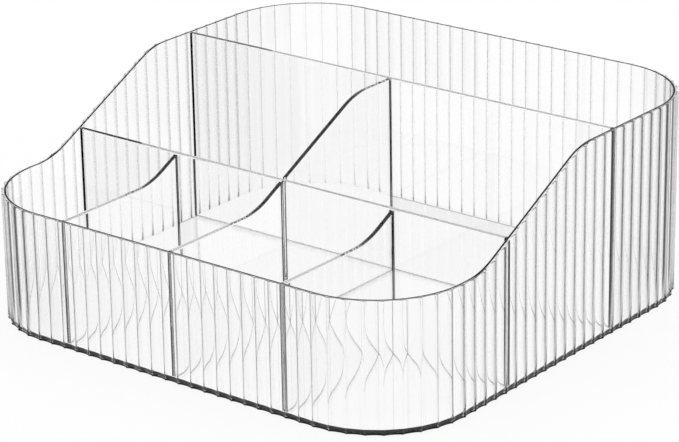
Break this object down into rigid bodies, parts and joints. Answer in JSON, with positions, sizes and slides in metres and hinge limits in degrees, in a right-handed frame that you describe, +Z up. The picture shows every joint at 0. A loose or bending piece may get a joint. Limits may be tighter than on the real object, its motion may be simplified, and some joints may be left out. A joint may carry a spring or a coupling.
{
  "type": "makeup brush holder",
  "caption": "Clear fluted vanity organiser with a stepped rim: an open tray parted into rows of upright compartments for makeup brushes and bottles.",
  "frame": {"origin": "middle of the underside, on the surface that the holder stands on", "axes": "+Z up, +Y towards the high back wall, +X to the right seen from the low front"},
  "size_m": [0.2498, 0.2424, 0.0969],
  "materials": {
    "clear_plastic": "clear, colourless, polished"
  },
  "bodies": {
    "root": {"fluted_wall": "clear_plastic", "base_plate": "clear_plastic", "back_divider": "clear_plastic", "middle_divider": "clear_plastic", "rear_centre_divider": "clear_plastic", "front_divider_left": "clear_plastic", "front_divider_centre": "clear_plastic", "front_divider_right": "clear_plastic"}
  },
  "joints": []
}
